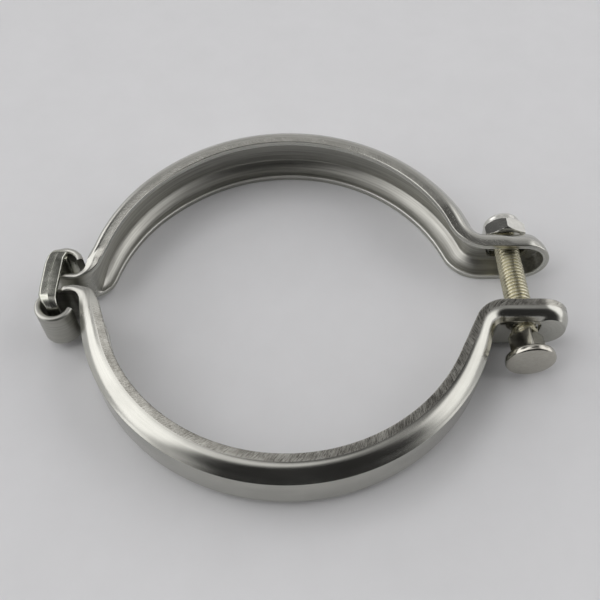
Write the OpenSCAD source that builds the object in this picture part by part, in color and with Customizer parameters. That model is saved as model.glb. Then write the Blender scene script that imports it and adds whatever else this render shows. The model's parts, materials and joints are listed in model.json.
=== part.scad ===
/* [Channel] */
// Radius of the lips that grip the pipe
lip_r = 56; // [54:0.5:58]
// Height of the channel from lip to lip
channel_h = 19.5; // [19:0.1:20.5]
// Depth of the channel from lip to outer web face
channel_depth = 7.7; // [7.5:0.1:7.9]
// Thickness of the sheet
sheet_t = 2.1; // [2:0.1:2.3]
// Half height of the flat outer web
web_half_h = 5.7; // [5.5:0.1:5.9]
// Width of the flat ground on each lip
ground_w = 2.4; // [2.2:0.1:2.6]
// Height of each lip's inner face
land_h = 2.0; // [1.6:0.1:2.2]
// Outward bow of the sloping flanks
flank_bow = 0.45; // [0.2:0.05:0.6]

/* [Ears] */
// Distance from the near half's centre line to the outer face of its ear
near_face = 12.2; // [12:0.1:12.4]
// Depth of the near half's ear, shallower than the channel
near_ear_depth = 6.0; // [5.8:0.1:6.4]
// Distance from the far half's centre line to the outer face of its ear
far_face = 18.4; // [18.2:0.1:19]
// Bend radius of the web where the ring turns into the ear
ear_bend_r = 4.5; // [4:0.5:5]
// Distance of the ear's round end from the ring axis
ear_end_x = 77; // [76:0.5:77.5]
// Distance of the square hole from the ring axis
bolt_x = 72.9; // [72.5:0.1:73.2]
// Side of the near ear's square hole
square_hole = 8.4; // [8.3:0.1:8.6]
// Width of the far ear's slot
slot_w = 8.6; // [8.5:0.1:8.8]
// Length of the far ear's slot
slot_l = 13; // [12:0.5:14]

/* [Hinge] */
// Height of the plain strip that is rolled into the hinge eye
strip_h = 14; // [13:0.5:14]
// Inner radius of the rolled eye
eye_r = 4.0; // [3.8:0.1:4.1]
// Distance of the eye's centre from the ring axis
eye_x = 71.3; // [71:0.1:72]
// Angle swept by the rolled eye
eye_sweep = 255; // [240:5:260]
// Length of the hinge link
link_l = 20.6; // [20:0.1:20.8]
// Width of the band that the link is formed from
link_w = 4.8; // [4.4:0.1:5]
// Outward bulge of the link between the eyes
link_bulge = 1.9; // [1.5:0.1:2.1]
// Thickness of the link's band
link_t = 2.2; // [2:0.1:2.3]
// Clearance between the link's bars and the edges of the eyes
link_clear = 0.25; // [0.2:0.05:0.3]

/* [Bolt and nut] */
// Thread diameter
thread_d = 8; // [8]
// Length of the bolt under its head
bolt_l = 50; // [49:0.5:52]
// Angle at which the loose bolt leans in its holes
bolt_lean = 1.5; // [0:0.5:2]
// Diameter of the flat round head
head_d = 15.2; // [15:0.1:17]
// Thickness of the head
head_t = 2.6; // [2:0.1:3]
// Width across the flats of the square neck
neck_w = 8; // [7.8:0.1:8]
// Length of the square neck
neck_l = 7.2; // [6:0.1:7.2]
// Width across the flats of the nut
nut_af = 13; // [13]
// Height of the nut's hexagon
nut_hex_h = 5.0; // [4.8:0.1:5.2]
// Height of the nut's round collar
nut_collar_h = 3.0; // [2.9:0.1:3.2]
// Angle at which the nut stands, from vertex up
nut_turn = 10; // [0:5:30]

/* [Assembly] */
// Distance between the centre lines of the loosened halves
halves_apart = 4.2; // [4.1:0.1:5]

/* [Hidden] */
$fn = 96;
flank_steps = 7;
seam = 0.02;                                     // how far a bend's skin lies inside the stretch it runs into
seam_overlap = 0.3;                              // how far the stretches reach into each other
ear_seam_angle = 2;
hinge_seam_angle = 3;
inner_web_half_h = web_half_h - 1.0;
web_r = lip_r + channel_depth;
hinge_bend_r = 3.5;
run_out = 8;                                     // length over which the lips fade out at the hinge
run_out_angle = atan((channel_h / 2 - strip_h / 2) / run_out);
link_h = strip_h + 2 * link_clear + 2 * link_t;
link_corner_r = 5;
link_bow_r = 26;                                 // plan radius of the link's bulge
head_gap = 1.1;                                  // the withdrawn neck stands this far off the near ear
slot_x = bolt_x - 1;                             // centre of the far ear's slot
head_y = -(near_face + head_gap + neck_l);       // inner face of the head
nut_y = halves_apart + far_face + 0.35;          // bearing face of the nut
nut_chamfer = 0.7;
nut_dome = 1.0;
thread_clear = 0.05;
insert_h = 2.0;
insert_r = 5.2;
insert_clear = 0.05;
collar_r = 6.1;

// Points of a shallow bow from p to q, as [depth from the web's outer face, height]
function bowed(p, q, bow) =
    let (d = q - p, n = [-d[1], d[0]] / norm(d))
    [for (i = [0 : flank_steps]) let (t = i / flank_steps) p + d * t + n * bow * 4 * t * (1 - t)];

function reversed(v) = [for (i = [len(v) - 1 : -1 : 0]) v[i]];
function flipped(v) = [for (p = v) [p[0], -p[1]]];
function at_radius(v, base, side) = [for (p = v) [base + side * p[0], p[1]]];

// Upper half of the channel's outer outline, from the lip to the web, e inside the sheet's surface
function outer_path(e) = concat(
    [[channel_depth - e, channel_h / 2 - e]],
    bowed([channel_depth - ground_w, channel_h / 2 - e], [e, web_half_h - e / 2], flank_bow));

// Upper half of the inner outline, from the web to the lip, e inside the sheet's surface
function inner_path(e) =
    bowed([sheet_t - e, inner_web_half_h + e / 2], [channel_depth - e, channel_h / 2 - land_h + e], -flank_bow);

// Whole channel section
function channel_points(e) = let (o = outer_path(e), i = inner_path(e))
    concat(o, reversed(flipped(o)), reversed(flipped(i)), i);

// Upper half of the channel section
function half_channel_points(e) = concat(outer_path(e), [[e, 0], [sheet_t - e, 0]], inner_path(e));

// Section of the plain strip
function strip_points(e) = let (h = strip_h / 2 - e, t = sheet_t - e) [[e, -h], [t, -h], [t, h], [e, h]];

// A section swept about the vertical axis from angle a to angle b
module swept(points, base, side, a, b) {
    rotate([0, 0, a]) rotate_extrude(angle = b - a) polygon(at_radius(points, base, side));
}

// A flat-bottomed cup that closes the end of an ear
module ear_end(face) {
    translate([ear_end_x, -face, 0])
        rotate([-90, 0, 0])
            rotate([0, 0, -90])
                rotate_extrude(angle = 180)
                    polygon([for (p = half_channel_points(seam)) [p[1], p[0]]]);
}

// Half of the ring on the -Y side, centred on its own axis, with its ear's web at -face
module ring_half(face) {
    ear_bend_y = face + ear_bend_r;
    ear_bend_x = sqrt(pow(web_r + ear_bend_r, 2) - pow(ear_bend_y, 2));
    ear_angle = asin(ear_bend_y / (web_r + ear_bend_r));
    hinge_bend_y = sheet_t + hinge_bend_r;
    hinge_bend_x = sqrt(pow(web_r + hinge_bend_r, 2) - pow(hinge_bend_y, 2));
    hinge_angle = asin(hinge_bend_y / (web_r + hinge_bend_r));

    // pressed channel with its lips fading out towards the hinge
    difference() {
        swept(channel_points(0), web_r, -1, 180 + hinge_angle, 360 - ear_angle);
        for (s = [0, 1])
            mirror([0, 0, s])
                translate([-web_r + 1, -run_out - hinge_bend_y + 1, channel_h / 2])
                    rotate([-run_out_angle, 0, 0])
                        translate([0, -2, 0]) cube([channel_depth + 8, run_out + 4, channel_h / 2]);
    }
    // bend and ear, with the channel running on to a closed round end
    translate([ear_bend_x, -ear_bend_y, 0])
        swept(channel_points(seam), ear_bend_r, 1, 90 - ear_seam_angle, 180 - ear_angle + ear_seam_angle);
    translate([ear_bend_x, -face, 0])
        rotate([90, 0, 90])
            linear_extrude(ear_end_x + seam_overlap - ear_bend_x) polygon(channel_points(0));
    ear_end(face);
    // plain strip: outward bend, short straight and rolled eye
    translate([-hinge_bend_x, -hinge_bend_y, 0])
        swept(strip_points(seam), hinge_bend_r, 1, hinge_angle - hinge_seam_angle, 90 + hinge_seam_angle);
    translate([-eye_x - seam_overlap, -sheet_t, -strip_h / 2])
        cube([eye_x + seam_overlap - hinge_bend_x, sheet_t, strip_h]);
    translate([-eye_x, -sheet_t - eye_r, 0])
        swept(strip_points(seam), eye_r, 1, 90 - hinge_seam_angle, 90 + eye_sweep);
}

// Space inside the line to which the near half's lips are cut back: from the ring, straight to
// the shallower bend, round it and along the ear
module lip_cut() {
    bend_y = near_face + ear_bend_r;
    bend_x = sqrt(pow(web_r + ear_bend_r, 2) - pow(bend_y, 2));
    rim_r = ear_bend_r + near_ear_depth;
    centre_angle = asin(bend_y / (web_r + ear_bend_r));
    line_angle = acos((lip_r + rim_r) / (web_r + ear_bend_r));
    leave = centre_angle + line_angle;           // where the line leaves the ring's lips
    difference() {
        translate([0, 0, -channel_h])
            linear_extrude(2 * channel_h)
                polygon([
                    lip_r * [cos(leave), -sin(leave)],
                    [bend_x, -bend_y] + rim_r * [-cos(leave), sin(leave)],
                    [bend_x, -bend_y], [lip_r * 2, -bend_y], [lip_r * 2, channel_h], [lip_r / 2, channel_h]]);
        translate([bend_x, -bend_y, -2 * channel_h]) cylinder(r = rim_r, h = 4 * channel_h);
        translate([bend_x, -bend_y - 1, -2 * channel_h]) cube([lip_r * 2, rim_r + 1, 4 * channel_h]);
    }
}

module near_half() {
    color([0.62, 0.61, 0.59])
        difference() {
            ring_half(near_face);
            lip_cut();
            translate([bolt_x - square_hole / 2, -near_face - 1, -square_hole / 2])
                cube([square_hole, sheet_t + 2, square_hole]);
        }
}

module far_half() {
    color([0.60, 0.59, 0.57])
        translate([0, halves_apart, 0])
            difference() {
                mirror([0, 1, 0]) ring_half(far_face);
                for (s = [-1, 1])
                    translate([slot_x + s * (slot_l - slot_w) / 2, far_face + 1, 0])
                        rotate([90, 0, 0]) cylinder(d = slot_w, h = sheet_t + 2);
                translate([slot_x - (slot_l - slot_w) / 2, far_face - sheet_t - 1, -slot_w / 2])
                    cube([slot_l - slot_w, sheet_t + 2, slot_w]);
            }
}

// A rectangle with round corners, centred
module round_rect(l, h, r) {
    square([l - 2 * r, h], center = true);
    square([l, h - 2 * r], center = true);
    for (x = [-1, 1], y = [-1, 1])
        translate([x * (l / 2 - r), y * (h / 2 - r)]) circle(r);
}

module hinge_link() {
    color([0.66, 0.66, 0.62])
        translate([-eye_x, halves_apart / 2, 0])
            intersection() {
                translate([-link_w * 2, 0, 0])
                    rotate([90, 0, 90])
                        linear_extrude(link_w * 4)
                            difference() {
                                round_rect(link_l, link_h, link_corner_r);
                                round_rect(link_l - 2 * link_t, link_h - 2 * link_t, link_corner_r - link_t);
                            }
                translate([link_bow_r - link_bulge, 0, -link_h])
                    difference() {
                        cylinder(r = link_bow_r + link_w / 2, h = 2 * link_h);
                        translate([0, 0, -1]) cylinder(r = link_bow_r - link_w / 2, h = 2 * link_h + 2);
                    }
            }
}

// Places the bolt, nut and insert on the leaning bolt's axis, in the frame of an upright one
module leaning() {
    translate([bolt_x, -near_face, 0]) rotate([0, 0, bolt_lean]) translate([0, near_face, 0]) children();
}

module bolt() {
    tip = 0.8;                                   // chamfer on the bolt's tip
    edge = 0.4;                                  // chamfer on the head's edges
    neck_taper = 0.8;
    color([0.74, 0.73, 0.70])
        leaning() translate([0, head_y, 0])
            rotate([-90, 0, 0]) {
                translate([0, 0, -head_t]) {
                    cylinder(d1 = head_d - 2 * edge, d2 = head_d, h = edge);
                    translate([0, 0, edge]) cylinder(d = head_d, h = head_t - 2 * edge);
                    translate([0, 0, head_t - edge]) cylinder(d1 = head_d, d2 = head_d - 2 * edge, h = edge);
                }
                intersection() {
                    rotate([0, 0, 45]) translate([-neck_w / 2, -neck_w / 2, 0]) cube([neck_w, neck_w, neck_l]);
                    union() {
                        cylinder(r = neck_w * 0.68, h = neck_l - neck_taper);
                        translate([0, 0, neck_l - neck_taper])
                            cylinder(r1 = neck_w * 0.68, r2 = neck_w * 0.68 - neck_taper, h = neck_taper);
                    }
                }
                cylinder(d = thread_d, h = bolt_l - tip);
                translate([0, 0, bolt_l - tip]) cylinder(d1 = thread_d, d2 = thread_d - 2 * tip, h = tip);
            }
}

module hex_nut() {
    corner_r = nut_af / 2 / cos(30);
    bearing_r = nut_af / 2 - 0.3;
    color([0.80, 0.79, 0.76])
        leaning() translate([0, nut_y, 0])
            rotate([-90, 0, 0])
                difference() {
                    union() {
                        intersection() {
                            rotate([0, 0, 30 + nut_turn]) cylinder(r = corner_r, h = nut_hex_h, $fn = 6);
                            union() {
                                cylinder(r1 = bearing_r, r2 = corner_r, h = nut_chamfer);
                                translate([0, 0, nut_chamfer])
                                    cylinder(r = corner_r, h = nut_hex_h - nut_chamfer - nut_dome);
                                translate([0, 0, nut_hex_h - nut_dome])
                                    cylinder(r1 = corner_r, r2 = bearing_r, h = nut_dome);
                            }
                        }
                        cylinder(r = collar_r, h = nut_hex_h + nut_collar_h - nut_dome);
                        translate([0, 0, nut_hex_h + nut_collar_h - nut_dome])
                            cylinder(r1 = collar_r, r2 = collar_r - nut_dome, h = nut_dome);
                    }
                    translate([0, 0, -1]) cylinder(r = thread_d / 2 + thread_clear, h = 20);
                    // groove that holds the insert
                    translate([0, 0, nut_hex_h])
                        cylinder(r = insert_r + insert_clear, h = insert_h + 2 * insert_clear);
                }
}

module nut_insert() {
    color([0.86, 0.85, 0.80])
        leaning() translate([0, nut_y + nut_hex_h + insert_clear, 0])
            rotate([-90, 0, 0])
                difference() {
                    cylinder(r = insert_r, h = insert_h);
                    translate([0, 0, -1]) cylinder(r = thread_d / 2 + thread_clear, h = insert_h + 2);
                }
}

near_half();
far_half();
hinge_link();
bolt();
hex_nut();
nut_insert();
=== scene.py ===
import json
import math

import bmesh
import bpy
import numpy as np
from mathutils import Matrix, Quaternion, Vector


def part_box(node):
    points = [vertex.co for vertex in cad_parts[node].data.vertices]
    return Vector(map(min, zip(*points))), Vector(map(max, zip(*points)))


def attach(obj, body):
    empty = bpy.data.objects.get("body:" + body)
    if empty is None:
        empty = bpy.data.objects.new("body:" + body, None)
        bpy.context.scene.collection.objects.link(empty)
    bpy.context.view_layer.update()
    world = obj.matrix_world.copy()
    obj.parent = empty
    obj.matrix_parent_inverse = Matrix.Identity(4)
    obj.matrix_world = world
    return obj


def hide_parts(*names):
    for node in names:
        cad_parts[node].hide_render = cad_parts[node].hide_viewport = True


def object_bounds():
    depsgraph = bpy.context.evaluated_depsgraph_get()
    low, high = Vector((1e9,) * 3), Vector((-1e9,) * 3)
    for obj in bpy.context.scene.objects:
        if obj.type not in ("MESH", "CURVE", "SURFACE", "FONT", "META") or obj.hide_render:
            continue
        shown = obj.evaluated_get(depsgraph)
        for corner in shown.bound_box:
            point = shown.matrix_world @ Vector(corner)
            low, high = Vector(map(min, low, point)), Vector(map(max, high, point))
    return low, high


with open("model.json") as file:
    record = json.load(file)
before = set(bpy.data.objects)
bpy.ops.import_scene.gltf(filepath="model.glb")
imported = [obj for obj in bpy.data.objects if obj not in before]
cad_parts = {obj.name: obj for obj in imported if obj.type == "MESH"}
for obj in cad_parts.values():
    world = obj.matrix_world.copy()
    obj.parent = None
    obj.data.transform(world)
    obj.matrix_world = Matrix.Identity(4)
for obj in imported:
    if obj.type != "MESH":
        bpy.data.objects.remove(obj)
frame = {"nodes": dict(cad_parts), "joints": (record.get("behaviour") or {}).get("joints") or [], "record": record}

cad_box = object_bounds()

# ---------------------------------------------------------------- sizes, in millimetres
MM = 0.001
joints = {j["name"]: j for j in frame["joints"]}
lip_r = next(m for m in frame["record"]["mounts"] if m["name"] == "pipe_seat")["dims"]["r_mm"]
near_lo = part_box("near_half")[0] / MM
far_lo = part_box("far_half")[0] / MM
near_eye = Vector(joints["link_swing"]["pos_m"]) / MM
bolt_point = Vector(joints["bolt_turn"]["pos_m"]) / MM
bolt_axis = Vector(joints["bolt_turn"]["axis"]).normalized()
halves_apart = far_lo.y
channel_depth = -near_lo.y - lip_r
sheet_t = 2.1
web_half_h = 6.05
flank_bow = 0.72
eye_r = -near_eye.y - sheet_t
near_face = -bolt_point.y             # outer face of the near ear, from the near half's centre line
far_face = 18.4                       # the same for the far ear
near_ear_depth = 6.0
near_ear_end, far_ear_end = 76.97, 76.2
ear_bend_r = 4.5
hinge_bend_r = 3.5
eye_sweep = 255                       # degrees that the rolled eye turns through
slot_x, slot_w, slot_l = 71.9, 8.6, 13.0
square_hole = 8.4
thread_pitch = 1.25
SHARP = 32                            # degrees between two faces, above which their edge is a sharp one
UP = Vector((0, 0, 1))


# ---------------------------------------------------------------- mesh helpers
def smooth(a, b, x):
    """0 up to a, 1 from b on, and a soft step between."""
    t = np.clip((x - a) / (b - a), 0.0, 1.0)
    return t * t * (3 - 2 * t)


def place(name, data):
    made = bpy.data.objects.new(name, data)
    bpy.context.scene.collection.objects.link(made)
    return made


def build(name, verts, faces, flow=None, shares=None, sharp=SHARP):
    """A mesh from points in millimetres. flow holds (along, depth, height) at each point for the material, and
    shares the attributes that say how much a point is ground, inside (painted darker as shade) or on an edge with a
    painted highlight."""
    mesh = bpy.data.meshes.new(name)
    mesh.from_pydata([tuple(v) for v in np.asarray(verts, float) * MM], [], faces)
    mesh.validate()
    work = bmesh.new()
    work.from_mesh(mesh)
    bmesh.ops.recalc_face_normals(work, faces=work.faces)
    work.to_mesh(mesh)
    work.free()
    if flow is not None:
        a = mesh.attributes.new("flow", "FLOAT_VECTOR", "POINT")
        a.data.foreach_set("vector", np.asarray(flow, np.float32).ravel())
    for key, column in (shares or {}).items():
        a = mesh.attributes.new(key, "FLOAT", "POINT")
        a.data.foreach_set("value", np.asarray(column, np.float32))
    mesh.shade_smooth()
    if sharp:
        mesh.set_sharp_from_angle(angle=math.radians(sharp))
    return place(name, mesh)


def finish_piece(piece, material, body, slot, *nodes):
    """Gives a piece its material and body, and hides the solids that it stands for. slot is not used."""
    piece.data.materials.clear()
    piece.data.materials.append(material)
    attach(piece, body)
    if nodes:
        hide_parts(*nodes)


def rounded(points, radii, steps):
    """An open outline with its inner corners rounded. Each gets steps + 1 points, and radii holds one a corner."""
    most_of_side = 0.48                   # the largest share of a side that one corner may use up
    out = [np.array(points[0], float)]
    for i in range(1, len(points) - 1):
        p, q, r = (np.array(points[j], float) for j in (i - 1, i, i + 1))
        u, v = p - q, r - q
        lu, lv = np.linalg.norm(u), np.linalg.norm(v)
        u, v = u / lu, v / lv
        half = math.acos(np.clip(u @ v, -1, 1)) / 2
        cut = min(radii[i] / max(math.tan(half), 1e-3), most_of_side * lu, most_of_side * lv)
        a, b = q + u * cut, q + v * cut
        for k in range(steps + 1):
            t = k / steps
            out.append((1 - t) ** 2 * a + 2 * t * (1 - t) * q + t * t * b)
    out.append(np.array(points[-1], float))
    return out


def round_faces(rows, columns):
    """Faces of a surface that closes on itself, whose points come in columns about an axis, with rows in each."""
    faces = []
    for k in range(columns):
        for i in range(rows - 1):
            a, b = k * rows + i, ((k + 1) % columns) * rows + i
            faces.append((a, a + 1, b + 1, b))
    return faces


def stacked_faces(n, levels):
    """Faces between levels of n points each, with a flat cap at both ends."""
    faces = []
    for i in range(levels - 1):
        for k in range(n):
            m = (k + 1) % n
            faces.append((i * n + k, i * n + m, (i + 1) * n + m, (i + 1) * n + k))
    faces.append(tuple(range(n))[::-1])
    faces.append(tuple(range((levels - 1) * n, levels * n)))
    return faces


# ---------------------------------------------------------------- channel section
CORNER, BOW = 4, 9                    # steps in a rounded corner, points between the ends of a bowed flank
EDGE_DROP = 0.12                      # the ground band falls by this much to its outer edge
STRIP_ROUND = 0.95                    # half height of the round on the strip's edge


def half_section(r):
    """Upper half of the section: outer outline from lip to web, then the inner one from web to lip. Returns
    (depth, height) points of the outer one, how much each is ground, those of the inner one, and how much each is on
    the lip's inner edge, which gets a painted highlight."""
    def bowed(p, q, amount, skew):
        """Points between p and q on a bow that rises to amount at the middle, or, if skewed, to 1.12 times amount at
        0.4 of the way."""
        p, q = np.array(p), np.array(q)
        d = q - p
        n = np.array([-d[1], d[0]]) / (np.linalg.norm(d) + 1e-9)
        t = np.linspace(0, 1, BOW + 2)[1:-1]
        lift = 5.08 * t ** 0.9 * (1 - t) ** 1.35 if skew else 4 * t * (1 - t)
        return [p + d * a + n * amount * b for a, b in zip(t, lift)]

    depth, high, land = r["depth"], r["high"], r["land"]
    lip, corner = (depth, high), (0.0, r["web"])
    edge = (depth - r["ground_w"], high - EDGE_DROP * (1 - r["strip"]))
    outer = [(depth, high - land * 0.5), lip, edge] + bowed(edge, corner, -r["bow"], True) + [corner, (0.0, 0.0)]
    o = rounded(outer, [0, r["r_lip"], r["r_ground"]] + [0.01] * BOW + [r["r_web"], 0], CORNER)
    # rounded() gives CORNER + 1 points a corner: the bowed flank needs only the middle one of each
    keep, mask, i = [o[0]], [0.0], 1
    shares = {1: [0.0, 0.0, 0.4, 0.8, 1.0], 2: [1.0, 0.9, 0.5, 0.1, 0.0]}
    for c in range(1, len(outer) - 1):
        pts = o[i:i + CORNER + 1]
        i += CORNER + 1
        if 3 <= c < 3 + BOW:
            keep.append(pts[CORNER // 2])
            mask.append(0.0)
        else:
            keep += pts
            mask += shares.get(c, [0.0] * (CORNER + 1))
    keep.append(o[-1])
    mask.append(0.0)
    top, foot = (sheet_t, r["inner_web"]), (depth, high - land)
    inner = [(sheet_t, 0.0), top] + bowed(top, foot, r["bow"], False) + [foot, (depth, high - land * 0.5)]
    q = rounded(inner, [0, 0.9] + [0.01] * BOW + [0.35, 0], CORNER)
    inner_keep, rim, i = [q[0]], [0.0], 1
    for c in range(1, len(inner) - 1):
        pts = q[i:i + CORNER + 1]
        i += CORNER + 1
        kept = [pts[CORNER // 2]] if 2 <= c < 2 + BOW else pts
        inner_keep += kept
        # the foot corner, on the lip's inner edge, carries the painted highlight
        rim += [1.0 if c == len(inner) - 2 else 0.0] * len(kept)
    keep, inner_keep = np.array(keep), np.array(inner_keep)
    # a strip's edge is a half round
    strip = r["strip"]
    if strip > 0:
        a = np.linspace(0, math.pi, len(keep) - 1)
        half = sheet_t / 2
        oval = np.array([half + half * np.cos(a), high - STRIP_ROUND + STRIP_ROUND * np.sin(a)]).T
        keep[:-1] = keep[:-1] * (1 - strip) + oval * strip
        up = np.linspace(0, high - STRIP_ROUND, len(inner_keep) + 1)[:-1]
        inner_keep = inner_keep * (1 - strip) + np.array([np.full(len(up), sheet_t), up]).T * strip
    return keep, np.array(mask), inner_keep, np.array(rim)


# How the channel runs out into the hinge: values against the distance in millimetres from the end of the
# ring, which is negative in the bend, the strip and the eye.
RUN_OUT = {
    "near": dict(
        depth=((-7.5, 2.1), (-5.2, 2.6), (-3.4, 2.9), (-1.5, 4.0), (-0.6, 4.8), (0.2, 5.6), (2.5, 6.4), (5.8, 6.9),
               (9.1, 7.35), (13, 7.7)),
        high=((-8.9, 7.0), (-7.4, 8.6), (-5.2, 8.9), (-3.4, 9.2), (-2.4, 9.4), (-1.0, 9.7), (0.2, 9.75)),
        web=((-4.5, 1.0), (-1.5, 0.72), (2, 0.35), (8, 0.0))),
    "far": dict(
        depth=((-4.4, 2.1), (-3.0, 2.6), (-1.6, 3.3), (0.0, 4.2), (2.5, 5.0), (5.8, 5.5), (15.8, 6.0), (24.7, 6.4),
               (33.6, 6.8), (42.5, 7.3), (55, 7.7)),
        high=((-5.4, 6.3), (-3.4, 6.9), (-2.0, 7.3), (-0.5, 8.2), (1.2, 9.2), (3.5, 9.75)),
        web=((-3.0, 1.0), (-0.5, 0.75), (3, 0.4), (9, 0.0))),
}


def table(rows, at):
    """A smooth reading of a table: the average of a few nearby straight readings."""
    xs, ys = zip(*rows)
    return float(np.mean([np.interp(at + d, xs, ys) for d in np.linspace(-0.7, 0.7, 7)]))


def half_points(near):
    """The half's centre line as stations: (point on the web's outer face, direction of travel, section values)."""
    ring_r = lip_r + channel_depth
    face = near_face if near else far_face
    ear_depth = near_ear_depth if near else channel_depth
    ear_end = near_ear_end if near else far_ear_end
    bend_y = face + ear_bend_r
    reach = ring_r + ear_bend_r
    bend_x = math.sqrt(reach ** 2 - bend_y ** 2)
    ear_a = math.asin(bend_y / reach)
    hinge_y = sheet_t + hinge_bend_r
    hinge_x = -math.sqrt((ring_r + hinge_bend_r) ** 2 - hinge_y ** 2)
    hinge_a = math.asin(hinge_y / (ring_r + hinge_bend_r))
    eye = np.array([near_eye.x, -sheet_t - eye_r])
    path = []                                     # (point, tangent, arc length, zone, zone's share)
    s = 0.0

    def arc(c, r, a, b, n, zone):
        nonlocal s
        for k in range(n + 1):
            t = a + (b - a) * k / n
            p = np.array(c) + r * np.array([math.cos(t), math.sin(t)])
            d = np.array([-math.sin(t), math.cos(t)]) * (1 if b > a else -1)
            if k == 0 and path:
                continue
            path.append((p, d, s + abs(b - a) * r * k / n, zone, k / n))
        s += abs(b - a) * r

    def line(p, q, n, zone):
        nonlocal s
        p, q = np.array(p, float), np.array(q, float)
        length = np.linalg.norm(q - p)
        for k in range(1, n + 1):
            path.append((p + (q - p) * k / n, (q - p) / length, s + length * k / n, zone, k / n))
        s += length

    arc(eye, eye_r, math.radians(90 + eye_sweep), math.radians(90), 56, "eye")
    line((eye[0], -sheet_t), (hinge_x, -sheet_t), 12, "strip")
    arc((hinge_x, -hinge_y), hinge_bend_r, math.radians(90), hinge_a, 24, "hinge")
    ring_start = s
    arc((0, 0), ring_r, math.pi + hinge_a, 2 * math.pi - ear_a, 190, "ring")
    ring_end = s
    arc((bend_x, -bend_y), ear_bend_r, math.pi - ear_a, math.pi / 2, 20, "bend")
    line((bend_x, -face), (ear_end, -face), 12, "ear")

    # the near lips run straight from the ring to the ear's bend, tangent to both
    rim_r = ear_bend_r + ear_depth
    swing = math.acos(min(1.0, (lip_r + rim_r) / reach)) if near else 0.0
    run_out = RUN_OUT["near" if near else "far"]
    rows = []
    for p, d, at, zone, share in path:
        u = at - ring_start
        depth = channel_depth
        if near and zone == "ring":
            off = (ring_end - at) / ring_r         # angle left to the bend
            if off < swing:
                depth = ring_r - lip_r / math.cos(swing - off)
        if near and zone == "bend":
            off = share * (math.pi / 2 - ear_a)
            depth = rim_r / math.cos(max(swing - off, 0)) - ear_bend_r
        if zone == "ear":
            depth = ear_depth
        depth = min(depth, table(run_out["depth"], u))
        high = table(run_out["high"], u)
        k = table(run_out["web"], u)
        strip = 1 - float(smooth(2.1, 4.4, depth))
        # the far ear droops a little and its rim is rounded past the bolt
        ear = float(smooth(56, 64, p[0])) * (not near)
        curl = float(smooth(69.5, 73.0, p[0])) * (not near)
        high -= 0.6 * ear
        rows.append(dict(
            p=p, d=d, s=at, depth=depth, high=high, strip=strip,
            web=web_half_h - 0.9 * ear + (high - 0.02 - web_half_h) * k,
            inner_web=(web_half_h - 1.2) + (high - 1.0 - (web_half_h - 1.2)) * k,
            ground_w=min(2.4, 0.55 + max(0.0, depth - 2.1) * 0.5) * (1 - 0.45 * curl),
            land=2.0 - 1.1 * strip,
            bow=flank_bow * (1 - k),
            r_lip=0.3 + 0.5 * curl, r_ground=1.3, r_web=0.35 + 0.3 * strip + 0.5 * curl,
            cut=(1 - strip) * (1 - curl) * (float(smooth(-1, 11, u)) if near else 0.5),
            # painted shade, and more roughness: half on the strips, up to 0.75 at the near half's hinge end, fading
            # out 13 mm into the ring
            dull=max(0.5 * strip, 0.75 * (1 - float(smooth(-1, 13, u))) * near),
            droop=0.55 * ear,
            tuck=0.1 * float(smooth(-2, 1, u) * (1 - smooth(11, 18, u))) * near,
            swell=8.35 if near else 6.6))
    return rows, ear_end, face


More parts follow.
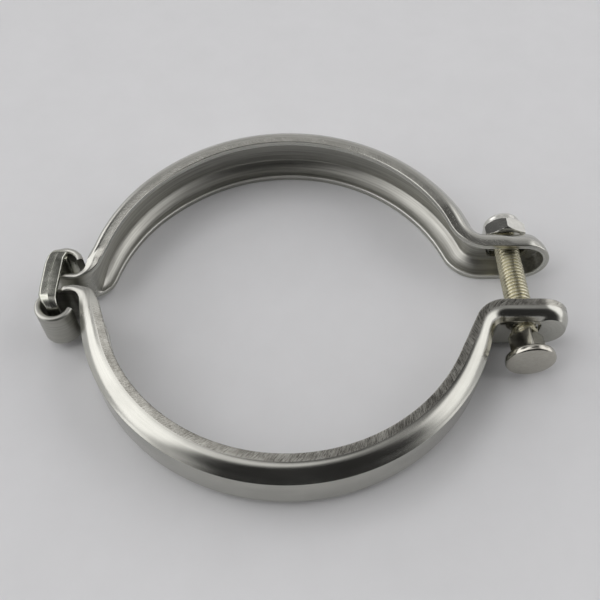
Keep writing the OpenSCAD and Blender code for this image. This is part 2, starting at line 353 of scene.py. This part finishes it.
def make_half(name, near):
    """One half swept along its centre line, closed at the ear by turning the section about the ear's end."""
    rows, ear_end, face = half_points(near)
    verts, flow, faces, loops = [], [], [], []
    shares = {"ground": [], "inside": [], "rim": []}

    def put(xy, z, f, g, inside, rim):
        x, y = xy
        verts.append((x, y if near else halves_apart - y, z))
        flow.append(f)
        for key, value in zip(shares, (g, inside, rim)):
            shares[key].append(value)
        return len(verts) - 1

    for r in rows:
        outer, mask, inner, rim = half_section(r)
        n = np.array([-r["d"][1], r["d"][0]])
        # upper outer (lip to web), lower outer (web to lip), lower inner (lip to web), upper inner
        seq = [(q, m, 1, 0, 0) for q, m in zip(outer, mask)]
        seq += [(q, m, -1, 0, 0) for q, m in list(zip(outer, mask))[-2::-1]]
        seq += [(q, 0.0, -1, 1, e) for q, e in list(zip(inner, rim))[-2::-1]]
        seq += [(q, 0.0, 1, 1, e) for q, e in list(zip(inner, rim))[1:-1]]
        loop = []
        for q, m, side, inside, e in seq:
            d = q[0] * (1 - r["tuck"]) if side < 0 else q[0]
            loop.append(put(r["p"] + n * d, side * q[1] - r["droop"], (r["s"], q[0], side * q[1]), m * r["cut"],
                            max(inside * (1 - r["strip"]), r["dull"]), e * (1 - r["strip"])))
        loops.append(loop)
    flip = not near
    for a, b in zip(loops, loops[1:]):
        m = len(a)
        for i in range(m):
            f = (a[i], a[(i + 1) % m], b[(i + 1) % m], b[i])
            faces.append(f if flip else f[::-1])
    faces.append(tuple(loops[0][::-1]) if flip else tuple(loops[0]))

    # round end of the ear, where the web swells out and the flank's bow flattens: columns from the upper half
    # section to the lower one, each in the same order, outer from lip to web and inner from web to lip
    last, prev = rows[-1], loops[-1]
    inner_swell = 6.6                         # half height of the rounded end's inner web
    outer_n, inner_n = len(outer), len(inner)
    web_in = 2 * outer_n - 2 + inner_n - 1
    upper = prev[:outer_n] + prev[web_in:]
    lower = prev[outer_n - 1:2 * outer_n - 1][::-1] + prev[2 * outer_n - 1:web_in + 1][::-1]
    steps = 40
    columns = [upper]
    for k in range(1, steps):
        a = math.pi * k / steps
        swell = math.sin(a) ** 0.8
        r = dict(last)
        r["web"] = last["web"] + (last["swell"] - last["web"]) * swell
        r["inner_web"] = last["inner_web"] + (inner_swell - last["inner_web"]) * swell
        r["r_web"] = last["r_web"] + 0.5 * swell
        r["bow"] = last["bow"] * (1 - 0.7 * swell)
        outer, mask, inner, rim = half_section(r)
        pts = [(q, m, 0, 0) for q, m in zip(outer, mask)] + [(q, 0.0, 1, e) for q, e in zip(inner[:-1], rim)]
        column = []
        for i, (q, m, inside, e) in enumerate(pts):
            if i in (outer_n - 1, outer_n):
                column.append(upper[i])
                continue
            x, z = ear_end + math.sin(a) * q[1], math.cos(a) * q[1]
            column.append(put(np.array([x, -face + q[0]]), z - r["droop"], (last["s"] + math.sin(a) * q[1], q[0], z),
                              m * r["cut"], inside, e))
        columns.append(column)
    columns.append(lower)
    for a, b in zip(columns, columns[1:]):
        m = len(a)
        for i in range(m):
            j = (i + 1) % m
            quad = [a[i], a[j], b[j], b[i]]
            tidy = [v for t, v in enumerate(quad) if v != quad[t - 1]]
            if len(set(tidy)) >= 3:
                faces.append(tuple(tidy) if flip else tuple(tidy[::-1]))
    return build(name, verts, faces, flow, shares)


def cut_hole(piece, outline, y0, y1):
    """Cuts a hole with this (x, z) outline through the piece between y0 and y1."""
    n = len(outline)
    verts = [(x, y, z) for y in (y0, y1) for x, z in outline]
    faces = [tuple(range(n))[::-1], tuple(range(n, 2 * n))]
    faces += [(i, (i + 1) % n, n + (i + 1) % n, n + i) for i in range(n)]
    cutter = build(piece.name + "_cutter", verts, faces, sharp=0)
    modifier = piece.modifiers.new("hole", "BOOLEAN")
    modifier.operation, modifier.solver, modifier.object = "DIFFERENCE", "EXACT", cutter
    graph = bpy.context.evaluated_depsgraph_get()
    mesh = bpy.data.meshes.new_from_object(piece.evaluated_get(graph))
    piece.modifiers.clear()
    piece.data = mesh
    bpy.data.objects.remove(cutter)
    mesh.shade_smooth()
    mesh.set_sharp_from_angle(angle=math.radians(SHARP))


# ---------------------------------------------------------------- materials
class Graph:
    """Short names for making shader nodes."""

    def __init__(self, name):
        self.material = bpy.data.materials.new(name)
        self.material.use_nodes = True
        self.tree = self.material.node_tree
        self.shader = self.tree.nodes["Principled BSDF"]

    def node(self, kind):
        return self.tree.nodes.new("ShaderNode" + kind)

    def link(self, a, b):
        self.tree.links.new(a, b)

    def attribute(self, name):
        made = self.node("Attribute")
        made.attribute_name = name
        return made

    def scaled(self, vector, scale, offset=(0, 0, 0), turn=0.0):
        """The vector times scale. With a turn the mapping is an inverse one, which divides by scale instead."""
        made = self.node("Mapping")
        made.vector_type = "POINT" if not turn else "TEXTURE"
        made.inputs["Rotation"].default_value[2] = math.radians(turn)
        made.inputs["Scale"].default_value = scale
        made.inputs["Location"].default_value = offset
        self.link(vector, made.inputs["Vector"])
        return made.outputs["Vector"]

    def noise(self, vector, detail, rough):
        made = self.node("TexNoise")
        made.inputs["Scale"].default_value = 1.0
        made.inputs["Detail"].default_value = detail
        made.inputs["Roughness"].default_value = rough
        self.link(vector, made.inputs["Vector"])
        return made.outputs["Fac"]

    def ramp(self, value, low, high, to_low=0.0, to_high=1.0):
        made = self.node("MapRange")
        made.inputs["From Min"].default_value = low
        made.inputs["From Max"].default_value = high
        made.inputs["To Min"].default_value = to_low
        made.inputs["To Max"].default_value = to_high
        self.link(value, made.inputs["Value"])
        return made.outputs["Result"]

    def math(self, operation, *values):
        made = self.node("Math")
        made.operation = operation
        for i, value in enumerate(values):
            if isinstance(value, (int, float)):
                made.inputs[i].default_value = value
            else:
                self.link(value, made.inputs[i])
        return made.outputs["Value"]

    def mix(self, factor, a, b):
        made = self.node("Mix")
        made.data_type = "RGBA"
        for socket, value in ((made.inputs["Factor"], factor), (made.inputs[6], a), (made.inputs[7], b)):
            if isinstance(value, tuple):
                socket.default_value = (*value, 1)
            elif isinstance(value, (int, float)):
                socket.default_value = value
            else:
                self.link(value, socket)
        return made.outputs[2]

    def blend(self, factor, a, b):
        made = self.node("Mix")
        made.data_type = "FLOAT"
        for socket, value in ((made.inputs["Factor"], factor), (made.inputs[2], a), (made.inputs[3], b)):
            if isinstance(value, (int, float)):
                socket.default_value = value
            else:
                self.link(value, socket)
        return made.outputs[0]

    def bump(self, height, strength, distance):
        made = self.node("Bump")
        made.inputs["Strength"].default_value = strength
        made.inputs["Distance"].default_value = distance
        self.link(height, made.inputs["Height"])
        return made.outputs["Normal"]


def sheet_material(name):
    """Pressed stainless sheet: satin with faint drawing streaks, cross-ground lips, and a rougher inside that is
    painted darker as shade, with a painted highlight along the lips' inner edges.
    """
    g = Graph(name)
    flow = g.attribute("flow").outputs["Vector"]
    ground = g.attribute("ground").outputs["Fac"]
    inside = g.attribute("inside").outputs["Fac"]
    rim = g.attribute("rim").outputs["Fac"]
    streak = g.noise(g.scaled(flow, (0.03, 1.5, 1.5)), 4.0, 0.55)
    fine = g.noise(g.scaled(flow, (0.12, 7.0, 7.0)), 3.0, 0.6)
    cloud = g.noise(g.scaled(flow, (0.09, 0.16, 0.16)), 3.0, 0.5)
    stroke = g.noise(g.scaled(flow, (2.4, 0.2, 0.7), (7, 3, 1), turn=50), 4.0, 0.7)
    cross = g.noise(g.scaled(flow, (2.6, 2.2, 2.2)), 5.0, 0.8)
    wide = g.noise(g.scaled(flow, (0.16, 0.3, 0.3), (4, 1, 9)), 2.0, 0.5)
    base = g.mix(g.ramp(cloud, 0.35, 0.65), (0.44, 0.438, 0.40), (0.50, 0.498, 0.456))
    base = g.mix(g.ramp(streak, 0.42, 0.66, 0.0, 0.25), base, (0.38, 0.376, 0.345))
    # painted shade: a darker streaked colour laid over the inside faces, the strips and the near hinge end
    dull = g.mix(g.ramp(streak, 0.40, 0.60), (0.26, 0.256, 0.236), (0.43, 0.426, 0.39))
    base = g.mix(g.math("MULTIPLY", inside, 0.7), base, dull)
    # painted highlight: a lighter colour laid along the lips' inner edges
    base = g.mix(rim, base, (0.66, 0.66, 0.62))
    marks = g.math("ADD", g.math("ADD", g.math("MULTIPLY", cross, 0.9), stroke), g.math("MULTIPLY", wide, 0.7))
    worn = g.mix(g.ramp(marks, 1.08, 1.56), (0.19, 0.183, 0.16), (0.53, 0.522, 0.475))
    g.link(g.mix(ground, base, worn), g.shader.inputs["Base Color"])
    rough = g.ramp(g.math("ADD", streak, cloud), 0.7, 1.3, 0.13, 0.23)
    rough = g.blend(inside, rough, g.ramp(cloud, 0.3, 0.7, 0.36, 0.46))
    g.link(g.blend(ground, rough, g.ramp(stroke, 0.35, 0.65, 0.22, 0.36)), g.shader.inputs["Roughness"])
    drawn = g.math("MULTIPLY", streak, g.math("MULTIPLY_ADD", inside, 0.7, 0.35))
    plain = g.math("ADD", drawn, g.math("MULTIPLY", fine, 0.12))
    height = g.blend(ground, plain, g.math("ADD", g.math("MULTIPLY", cross, 0.7), g.math("MULTIPLY", stroke, 0.4)))
    g.link(g.bump(height, 0.5, 0.00006), g.shader.inputs["Normal"])
    g.shader.inputs["Metallic"].default_value = 1.0
    return g.material


def bright_material(name, colour, dark, rough_low, rough_high, grain, depth=0.00002):
    """Bright plated steel with faint turning marks and small wear."""
    g = Graph(name)
    where = g.node("TexCoord").outputs["Object"]
    cloud = g.noise(g.scaled(where, (160, 160, 160)), 4.0, 0.6)
    mark = g.noise(g.scaled(where, grain), 4.0, 0.6)
    g.link(g.mix(g.ramp(g.math("ADD", cloud, mark), 0.75, 1.25), dark, colour), g.shader.inputs["Base Color"])
    g.link(g.ramp(cloud, 0.3, 0.7, rough_low, rough_high), g.shader.inputs["Roughness"])
    g.link(g.bump(mark, 0.4, depth), g.shader.inputs["Normal"])
    g.shader.inputs["Metallic"].default_value = 1.0
    return g.material


pressed = sheet_material("pressed_sheet")
link_steel = bright_material("link_steel", (0.60, 0.60, 0.54), (0.44, 0.445, 0.39), 0.18, 0.28, (500, 900, 900),
                             0.00003)
head_steel = bright_material("head_steel", (0.50, 0.485, 0.43), (0.42, 0.405, 0.36), 0.12, 0.22, (900, 900, 900))
thread_steel = bright_material("thread_steel", (0.64, 0.61, 0.47), (0.40, 0.38, 0.28), 0.20, 0.32, (1800, 1800, 1800))
nut_steel = bright_material("nut_steel", (0.76, 0.755, 0.71), (0.66, 0.655, 0.61), 0.07, 0.14, (700, 700, 700))

# ---------------------------------------------------------------- the two halves
near = make_half("near_clamp_half", True)
hole = square_hole / 2
cut_hole(near, [(bolt_point.x + x, z) for x, z in ((-hole, -hole), (hole, -hole), (hole, hole), (-hole, hole))],
         -near_face - 1, -near_face + sheet_t + 1)    # 1 mm past the sheet on both sides
finish_piece(near, pressed, "near_body", "pressed_sheet", "near_half")

far = make_half("far_clamp_half", False)
slot, slot_steps = [], 32
for side in (1, -1):
    for k in range(slot_steps + 1):
        a = -side * math.pi / 2 + math.pi * k / slot_steps
        slot.append((slot_x + side * (slot_l - slot_w) / 2 + math.cos(a) * slot_w / 2, math.sin(a) * slot_w / 2))
cut_hole(far, slot, halves_apart + far_face - sheet_t - 1, halves_apart + far_face + 1)
finish_piece(far, pressed, "far_body", "pressed_sheet", "far_half")


# ---------------------------------------------------------------- hinge link
# (y, x) tables of the band's outer edge, its inner edge and the ridge between them, along the link's top and bottom
LINK_LEFT = ((-8.2, -74.0), (-7.0, -74.6), (-5.6, -75.5), (-4, -76.0), (-1, -76.25), (8, -76.3), (11.6, -75.7),
             (14.1, -74.1))
LINK_RIGHT = ((-8.2, -69.9), (-5, -70.5), (-1.8, -70.8), (10.5, -70.7), (12.4, -70.0))
LINK_RIDGE = ((-8.2, -71.4), (-5.6, -72.5), (-3.2, -73.1), (-1, -73.5), (1.6, -73.55), (4.7, -73.3), (8.2, -73.05),
              (12.4, -72.3))
LEG_LEFT, LEG_RIGHT, LEG_RIDGE = -74.0, -69.7, -71.9      # the same in the upright legs, which stand in the eyes


def make_link():
    """A closed loop of ridged band, upright in both eyes and standing out past them between."""
    lo, hi = (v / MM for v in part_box("hinge_link"))
    thick, top = 2.2, hi.z
    corners = ((hi.y, top, 1.9, 0), (lo.y, top, 4.2, 90), (lo.y, -top, 4.2, 180), (hi.y, -top, 3.0, 270))
    turn_steps, spacing, overhang = 16, 0.6, 1.7
    outline = []                                  # (y, z, normal y, normal z)
    for cy, cz, r, a0 in corners:
        my, mz = cy - math.copysign(r, cy - 2), cz - math.copysign(r, cz)
        for k in range(turn_steps + 1):
            a = math.radians(a0 + 90 * k / turn_steps)
            outline.append((my + r * math.cos(a), mz + r * math.sin(a), math.cos(a), math.sin(a)))
    fine = []
    for i, (y, z, ny, nz) in enumerate(outline):
        y2, z2, my, mz = outline[(i + 1) % len(outline)]
        steps = max(1, round(math.hypot(y2 - y, z2 - z) / spacing))
        for k in range(steps):
            f = k / steps
            at_y, at_z = y + (y2 - y) * f, z + (z2 - z) * f
            # the far corners overhang the eye's rim
            at_y += overhang * float(smooth(7.0, 8.6, abs(at_z)) * smooth(5, 12, at_y))
            fine.append((at_y, at_z, ny + (my - ny) * f, nz + (mz - nz) * f))
    verts, faces = [], []
    for y, z, ny, nz in fine:
        length = math.hypot(ny, nz)
        ny, nz = ny / length, nz / length
        leg = 1 - float(smooth(4.5, 8.6, abs(z)))    # 1 in the upright legs
        x0 = np.interp(y, *zip(*LINK_LEFT)) * (1 - leg) + LEG_LEFT * leg
        x1 = np.interp(y, *zip(*LINK_RIGHT)) * (1 - leg) + LEG_RIGHT * leg
        xm = np.interp(y, *zip(*LINK_RIDGE)) * (1 - leg) + LEG_RIDGE * leg
        ring = rounded([(x1, -thick * 0.6), (x1, -0.62), (xm, 0.0), (x0 + 0.7, -0.2), (x0, -0.95), (x0, -thick),
                        (x1, -thick), (x1, -thick * 0.6)], [0, 0.5, 0.25, 0.8, 0.5, 0.5, 0.5, 0], 4)[:-1]
        verts += [(x, y + ny * lift, z + nz * lift) for x, lift in ring]
    n = len(verts) // len(fine)
    for i in range(len(fine)):
        j = (i + 1) % len(fine)
        for k in range(n):
            m = (k + 1) % n
            faces.append((i * n + k, i * n + m, j * n + m, j * n + k))
    return build("hinge_loop", verts, faces)


finish_piece(make_link(), link_steel, "link_body", "link_steel", "hinge_link")

# ---------------------------------------------------------------- bolt
neck_half, neck_l, head_gap = 4.0, 7.2, 1.1
neck_end = -head_gap                              # measured from the near ear's face, towards the nut
head_top = neck_end - neck_l
head_r, head_t = 7.6, 2.6
bolt_l = 50                                       # under the head
tip = bolt_l + head_top
bolt_sharp, thread_sharp, nut_sharp = 40, 60, 22  # degrees, as SHARP
across = UP.cross(bolt_axis).normalized()


def make_head():
    side, steps = UP.cross(bolt_axis), 128
    # (distance along the bolt, radius), from the middle of the flat face round the rim to the neck
    profile = [(head_top - head_t, 0.001), (head_top - head_t, head_r * 0.5), (head_top - head_t, head_r - 0.75),
               (head_top - head_t + 0.06, head_r - 0.5), (head_top - head_t + 0.25, head_r - 0.2),
               (head_top - head_t + 0.55, head_r - 0.03), (head_top - head_t * 0.62, head_r),
               (head_top - head_t * 0.36, head_r - 0.02), (head_top - 0.3, head_r - 0.25),
               (head_top - 0.08, head_r - 0.55), (head_top, head_r - 1.0), (head_top + 0.02, 3.0)]
    verts = []
    for k in range(steps):
        a = 2 * math.pi * k / steps
        out = side * math.sin(a) + UP * math.cos(a)
        verts += [bolt_point + bolt_axis * y + out * r for y, r in profile]
    return build("bolt_head", verts, round_faces(len(profile), steps), sharp=bolt_sharp)


def make_neck():
    """The square neck, standing on a corner, with its end rounded off towards the thread."""
    outline = rounded([(0, neck_half), (neck_half, neck_half), (neck_half, -neck_half), (-neck_half, -neck_half),
                       (-neck_half, neck_half), (0, neck_half)], [0, 0.7, 0.7, 0.7, 0.7, 0], 5)[:-1]
    verts = []
    levels = [(head_top - 0.3, 1.06), (head_top + 0.15, 1.03), (head_top + 0.5, 1.0), (neck_end - 0.9, 1.0),
              (neck_end - 0.35, 0.94), (neck_end - 0.05, 0.82), (neck_end, 0.70)]
    turn = math.radians(45)
    for y, scale in levels:
        for u, v in outline:
            a, b = u * math.cos(turn) - v * math.sin(turn), u * math.sin(turn) + v * math.cos(turn)
            verts.append(bolt_point + bolt_axis * y + (across * a + UP * b) * scale)
    return build("bolt_neck", verts, stacked_faces(len(outline), len(levels)), sharp=bolt_sharp)


def make_thread():
    """A single helical ridge that starts at the neck and fades out at the bolt's tip."""
    steps, rows_per_turn = 72, 12
    root_r, tooth_h = 3.36, 0.62
    tip_r, tip_rise, tip_l = 3.2, 0.78, 0.9           # the tip's radius, and what it gains over tip_l
    start = neck_end - 0.4
    rows = int((tip - start) / thread_pitch * rows_per_turn)
    verts = []
    for i in range(rows + 1):
        y = start + (tip - start) * i / rows
        for k in range(steps):
            a = 2 * math.pi * k / steps
            phase = (y / thread_pitch + a / (2 * math.pi)) % 1.0
            tooth = 1 - abs(2 * phase - 1)
            r = root_r + tooth_h * float(smooth(0.08, 0.86, tooth))
            fade = min(1.0, (tip - y) / tip_l)
            r = min(r, tip_r + tip_rise * fade)
            if y < start + 1.0:
                r = root_r + (r - root_r) * (y - start)
            out = across * math.sin(a) + UP * math.cos(a)
            verts.append(bolt_point + bolt_axis * y + out * r)
    return build("bolt_thread", verts, stacked_faces(steps, rows + 1), sharp=thread_sharp)


finish_piece(make_head(), head_steel, "bolt_body", "bolt_steel", "bolt")
finish_piece(make_neck(), head_steel, "bolt_body", "bolt_steel")
finish_piece(make_thread(), thread_steel, "bolt_body", "bolt_steel")


# ---------------------------------------------------------------- lock nut
def make_nut():
    """Hexagon with chamfered corners, blending into a domed collar that is turned in at the top."""
    stand_off = 0.6                               # the far ear's face to the nut
    base = halves_apart + far_face + stand_off + near_face
    flat, turn, steps = 6.5, math.radians(-3), 216
    hex_top, row_gap, fine_r = 5.5, 0.14, 4.3     # the flats end at hex_top, and rows are close outside fine_r
    # (height, radius before the flats cut it)
    profile = ((0.0, 4.1), (0.0, 6.1), (0.25, 6.75), (0.5, 7.2), (0.75, 7.6), (3.6, 7.7), (4.1, 7.45), (4.6, 7.0),
               (5.1, 6.45), (5.4, 6.25), (6.0, 6.15), (6.8, 6.05), (7.4, 5.8), (7.9, 5.4), (8.25, 4.95), (8.4, 4.5),
               (8.35, 4.25), (8.0, 4.1), (0.0, 4.1))
    # close rows, so that the chamfers' curved edges come out clean
    fine = []
    for (h0, r0), (h1, r1) in zip(profile, profile[1:]):
        parts = math.ceil(math.hypot(h1 - h0, r1 - r0) / row_gap) if r0 > fine_r and r1 > fine_r else 1
        fine += [(h0 + (h1 - h0) * i / parts, r0 + (r1 - r0) * i / parts) for i in range(parts)]
    profile = fine + [profile[-1]]
    verts = []
    for k in range(steps):
        a = 2 * math.pi * k / steps
        rel = (a + math.radians(30)) % math.radians(60) - math.radians(30)
        hexagon = flat / math.cos(math.radians(30) - abs(rel))
        out = across * math.sin(a - turn) + UP * math.cos(a - turn)
        for h, r in profile:
            q = min(r, hexagon) if h < hex_top else r
            verts.append(bolt_point + bolt_axis * (base + h) + out * q)
    return build("lock_nut", verts, round_faces(len(profile), steps), sharp=nut_sharp)


finish_piece(make_nut(), nut_steel, "nut_body", "nut_steel", "hex_nut")

nylon = Graph("insert_nylon")
speck = nylon.noise(nylon.scaled(nylon.node("TexCoord").outputs["Object"], (900, 900, 900)), 3.0, 0.6)
nylon.link(nylon.mix(nylon.ramp(speck, 0.3, 0.7), (0.62, 0.62, 0.56), (0.78, 0.78, 0.72)),
           nylon.shader.inputs["Base Color"])
nylon.link(nylon.ramp(speck, 0.3, 0.7, 0.45, 0.6), nylon.shader.inputs["Roughness"])
insert_node = frame["nodes"]["nut_insert"]        # this solid is shown as it is
insert_node.data.materials.clear()
insert_node.data.materials.append(nylon.material)

# ---------------------------------------------------------------- floor
floor_gap, floor_half, wall_r = 0.00002, 3.0, 3.6         # metres
floor_z = cad_box[0].z - floor_gap
floor_mesh = bpy.data.meshes.new("floor")
floor_mesh.from_pydata([(x * floor_half, y * floor_half, floor_z) for x, y in ((-1, -1), (1, -1), (1, 1), (-1, 1))],
                       [], [(0, 1, 2, 3)])
floor = place("floor", floor_mesh)
paper = Graph("floor_paper")
grain = paper.noise(paper.scaled(paper.node("TexCoord").outputs["Object"], (60, 60, 60)), 4.0, 0.6)
paper.link(paper.mix(paper.ramp(grain, 0.3, 0.7), (0.715, 0.718, 0.722), (0.737, 0.740, 0.745)),
           paper.shader.inputs["Base Color"])
paper.shader.inputs["Roughness"].default_value = 0.7
paper.shader.inputs["Specular IOR Level"].default_value = 0.2
floor_mesh.materials.append(paper.material)

# a plain pale wall all round, which only the camera sees
wall_mesh = bpy.data.meshes.new("wall")
work = bmesh.new()
bmesh.ops.create_uvsphere(work, u_segments=64, v_segments=32, radius=wall_r)
work.to_mesh(wall_mesh)
work.free()
wall = place("wall", wall_mesh)
wall.visible_diffuse = wall.visible_glossy = wall.visible_transmission = wall.visible_shadow = False
pale = Graph("wall_paint")
pale.shader.inputs["Base Color"].default_value = (0, 0, 0, 1)
pale.shader.inputs["Specular IOR Level"].default_value = 0.0
pale.shader.inputs["Emission Color"].default_value = (0.60, 0.60, 0.605, 1)
pale.shader.inputs["Emission Strength"].default_value = 1.0
wall_mesh.materials.append(pale.material)

# ---------------------------------------------------------------- light
scene = bpy.context.scene
scene.view_settings.view_transform = "Standard"
world = bpy.data.worlds.new("studio")
scene.world = world
world.use_nodes = True
tree = world.node_tree
background = tree.nodes["Background"]
direction = tree.nodes.new("ShaderNodeTexCoord").outputs["Generated"]


def world_patch(toward, inner, outer):
    """1 within inner degrees of a direction, falling to 0 at outer degrees."""
    dot = tree.nodes.new("ShaderNodeVectorMath")
    dot.operation = "DOT_PRODUCT"
    tree.links.new(direction, dot.inputs[0])
    dot.inputs[1].default_value = Vector(toward).normalized()
    fall = tree.nodes.new("ShaderNodeMapRange")
    fall.interpolation_type = "SMOOTHSTEP"
    fall.inputs["From Min"].default_value = math.cos(math.radians(outer))
    fall.inputs["From Max"].default_value = math.cos(math.radians(inner))
    tree.links.new(dot.outputs["Value"], fall.inputs["Value"])
    return fall.outputs["Result"]


def compass(azimuth, elevation):
    """A direction from degrees about +Z, counted from +X, and degrees above the horizon."""
    a, e = math.radians(azimuth), math.radians(elevation)
    return math.cos(a) * math.cos(e), math.sin(a) * math.cos(e), math.sin(e)


# the sky is brighter towards the horizon
split = tree.nodes.new("ShaderNodeSeparateXYZ")
tree.links.new(direction, split.inputs[0])
sky = tree.nodes.new("ShaderNodeMapRange")
sky.inputs["From Min"].default_value = -0.1
sky.inputs["From Max"].default_value = 0.9
sky.inputs["To Min"].default_value = 0.8
sky.inputs["To Max"].default_value = 0.35
tree.links.new(split.outputs["Z"], sky.inputs["Value"])
level = sky.outputs["Result"]

# bright and dark patches, each laid over those before it: direction, degrees from it that are covered fully,
# degrees at which it has faded out, and brightness
PATCHES = (
    (compass(160, 72), 10, 34, 1.1),
    (compass(92, 45), 7, 14, 0.66),
    (compass(84, 70), 7, 14, 0.12),
    (compass(61, 54), 8, 14, 0.08),
    (compass(170, 26), 36, 50, 1.9),
    (compass(14, 20), 30, 44, 1.65),
    (compass(-80, 24), 37, 61, 0.04),
    (compass(42, 12), 7, 14, 0.80),
    (compass(130, 39), 10, 16, 0.10),
    (compass(116, 58), 5, 11, 1.8),
)
for toward, inner, outer, value in PATCHES:
    mix = tree.nodes.new("ShaderNodeMix")
    mix.data_type = "FLOAT"
    tree.links.new(world_patch(toward, inner, outer), mix.inputs["Factor"])
    tree.links.new(level, mix.inputs[2])
    mix.inputs[3].default_value = value
    level = mix.outputs[0]
tree.links.new(level, background.inputs["Strength"])
background.inputs["Color"].default_value = (1.0, 0.99, 1.0, 1)

# ---------------------------------------------------------------- camera
sensor, frame_px, focal_px = 36, 600, 786        # width in millimetres and in pixels, and focal length in pixels
data = bpy.data.cameras.new("camera")
data.lens = sensor * focal_px / frame_px
data.sensor_width = sensor
camera = place("camera", data)
elevation, distance, roll = math.radians(55.8), 0.2488, math.radians(0.12)
target = Vector((0.0038, -0.0001, 0.0))
back = Vector((0, -math.cos(elevation), math.sin(elevation)))
camera.location = target + back * distance
camera.rotation_mode = "QUATERNION"
camera.rotation_quaternion = (-back).to_track_quat("-Z", "Y") @ Quaternion((0, 0, 1), -roll)
data.clip_start, data.clip_end = 0.01, 20
scene.camera = camera

bpy.context.view_layer.update()
